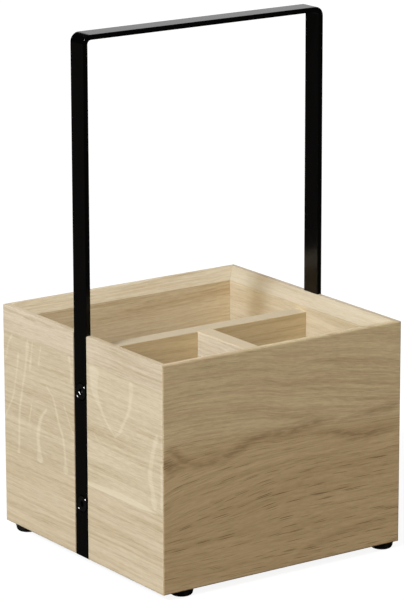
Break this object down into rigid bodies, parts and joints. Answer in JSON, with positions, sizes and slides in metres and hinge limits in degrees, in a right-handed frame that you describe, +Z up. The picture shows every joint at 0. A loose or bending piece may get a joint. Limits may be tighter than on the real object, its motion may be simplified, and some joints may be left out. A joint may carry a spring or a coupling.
{
  "type": "table caddy",
  "caption": "Square oak table caddy with a chamfered rim, one long and two short compartments, and a tall flat black steel carrying handle let into the sides.",
  "frame": {"origin": "on the surface that the caddy stands on, under the middle of the box", "axes": "+X to the right along the front, +Y to the back, +Z up; the handle's hoop lies in the XZ plane"},
  "size_m": [0.2, 0.2, 0.372],
  "materials": {
    "oak": "pale oak, matt whitened oil",
    "handle_coat": "satin black powder coat",
    "black_screw": "black oxide, slightly glossy",
    "insert_brass": "plain turned brass",
    "foot_rubber": "smooth black rubber"
  },
  "bodies": {
    "root": {"front_panel": "oak", "back_panel": "oak", "right_panel": "oak", "left_panel_bottom_stave": "oak", "left_panel_middle_stave": "oak", "left_panel_top_stave": "oak", "bottom_panel": "oak", "long_divider": "oak", "short_divider": "oak", "handle": "handle_coat", "left_lower_screw": "black_screw", "left_upper_screw": "black_screw", "right_lower_screw": "black_screw", "right_upper_screw": "black_screw", "left_lower_insert": "insert_brass", "left_upper_insert": "insert_brass", "right_lower_insert": "insert_brass", "right_upper_insert": "insert_brass", "front_left_foot": "foot_rubber", "front_right_foot": "foot_rubber", "back_left_foot": "foot_rubber", "back_right_foot": "foot_rubber"}
  },
  "joints": []
}
